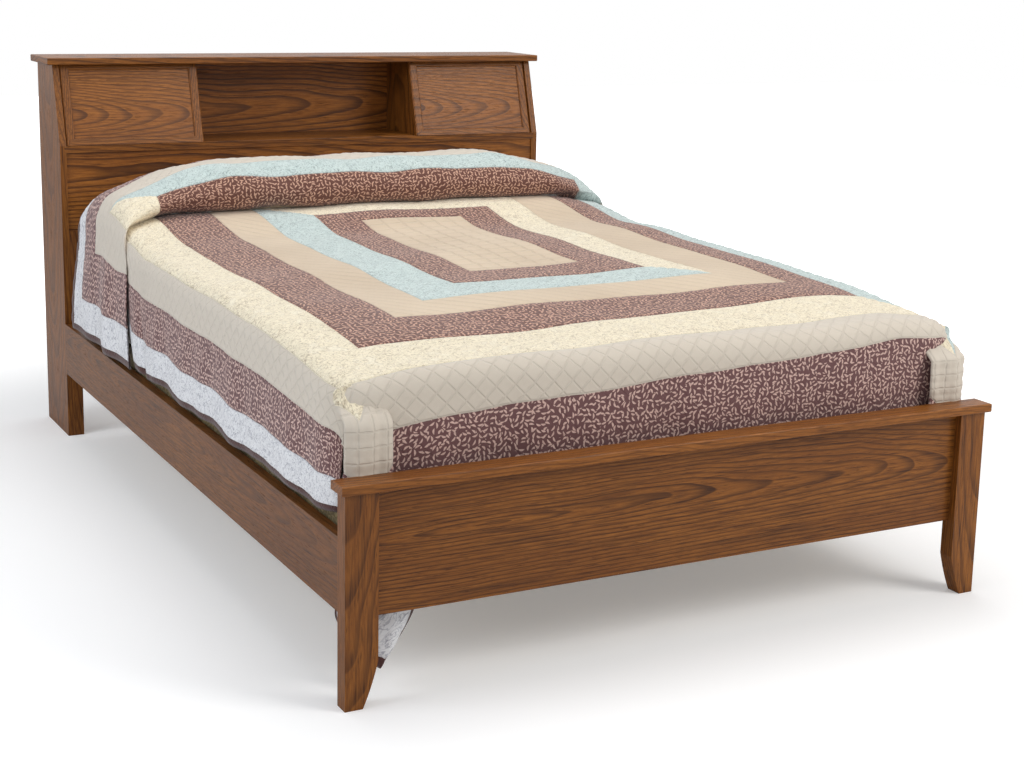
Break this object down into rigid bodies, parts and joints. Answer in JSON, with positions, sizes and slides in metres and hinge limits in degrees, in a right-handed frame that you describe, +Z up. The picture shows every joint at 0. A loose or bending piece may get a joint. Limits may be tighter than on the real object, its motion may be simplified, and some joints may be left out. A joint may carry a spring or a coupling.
{
  "type": "bookcase storage bed",
  "caption": "Queen-size wooden bed with a slanted bookcase headboard, sliding cupboard doors, low footboard, side rails, slats and made-up bedding.",
  "frame": {"origin": "floor level, in the middle of the bed's footprint", "axes": "+X to the right seen from the foot, +Y towards the headboard, +Z up"},
  "size_m": [1.626, 2.454, 1.13],
  "materials": {
    "stained_oak": "brown-stained oak under a satin lacquer",
    "oak_panel": "brown-stained oak veneer under a satin lacquer",
    "plain_softwood": "planed bare softwood",
    "zinc_plated_steel": "zinc-plated pressed steel",
    "box_spring_damask": "woven olive and gold damask",
    "mattress_ticking": "quilted off-white ticking",
    "pillow_cotton": "plain white cotton",
    "quilt_cotton": "pieced and quilted cotton in nested bands"
  },
  "bodies": {
    "root": {"bookcase_back_panel": "oak_panel", "bookcase_partition_left": "stained_oak", "bookcase_partition_right": "stained_oak", "bookcase_shelf": "stained_oak", "box_spring": "box_spring_damask", "centre_beam_hanger_foot": "zinc_plated_steel", "centre_beam_hanger_head": "zinc_plated_steel", "centre_support_beam": "plain_softwood", "centre_support_leg_foot": "plain_softwood", "centre_support_leg_head": "plain_softwood", "footboard_cap": "stained_oak", "footboard_leg_left": "stained_oak", "footboard_leg_right": "stained_oak", "footboard_panel": "stained_oak", "headboard_apron": "stained_oak", "headboard_cap": "stained_oak", "headboard_end_panel_left": "stained_oak", "headboard_end_panel_right": "stained_oak", "headboard_leg_stile_left": "stained_oak", "headboard_leg_stile_right": "stained_oak", "headboard_lower_rail": "stained_oak", "mattress": "mattress_ticking", "pillow_left": "pillow_cotton", "pillow_right": "pillow_cotton", "post_slot_plate_foot_left": "zinc_plated_steel", "post_slot_plate_foot_right": "zinc_plated_steel", "post_slot_plate_head_left": "zinc_plated_steel", "post_slot_plate_head_right": "zinc_plated_steel", "quilt": "quilt_cotton", "rail_hook_plate_foot_left": "zinc_plated_steel", "rail_hook_plate_foot_right": "zinc_plated_steel", "rail_hook_plate_head_left": "zinc_plated_steel", "rail_hook_plate_head_right": "zinc_plated_steel", "side_rail_left": "stained_oak", "side_rail_right": "stained_oak", "slat_01": "plain_softwood", "slat_02": "plain_softwood", "slat_03": "plain_softwood", "slat_04": "plain_softwood", "slat_05": "plain_softwood", "slat_06": "plain_softwood", "slat_07": "plain_softwood", "slat_08": "plain_softwood", "slat_09": "plain_softwood", "slat_10": "plain_softwood", "slat_cleat_left": "plain_softwood", "slat_cleat_right": "plain_softwood"},
    "left_door": {"left_door_stile_outer": "stained_oak", "left_door_stile_inner": "stained_oak", "left_door_rail_bottom": "stained_oak", "left_door_rail_top": "stained_oak", "left_door_panel": "oak_panel"},
    "right_door": {"right_door_stile_outer": "stained_oak", "right_door_stile_inner": "stained_oak", "right_door_rail_bottom": "stained_oak", "right_door_rail_top": "stained_oak", "right_door_panel": "oak_panel"}
  },
  "joints": [
    {"name": "left_door_slide", "type": "slide", "parent": "root", "child": "left_door", "axis": [1, 0, 0], "range_m": [0, 0.35]},
    {"name": "right_door_slide", "type": "slide", "parent": "root", "child": "right_door", "axis": [-1, 0, 0], "range_m": [0, 0.35]}
  ]
}
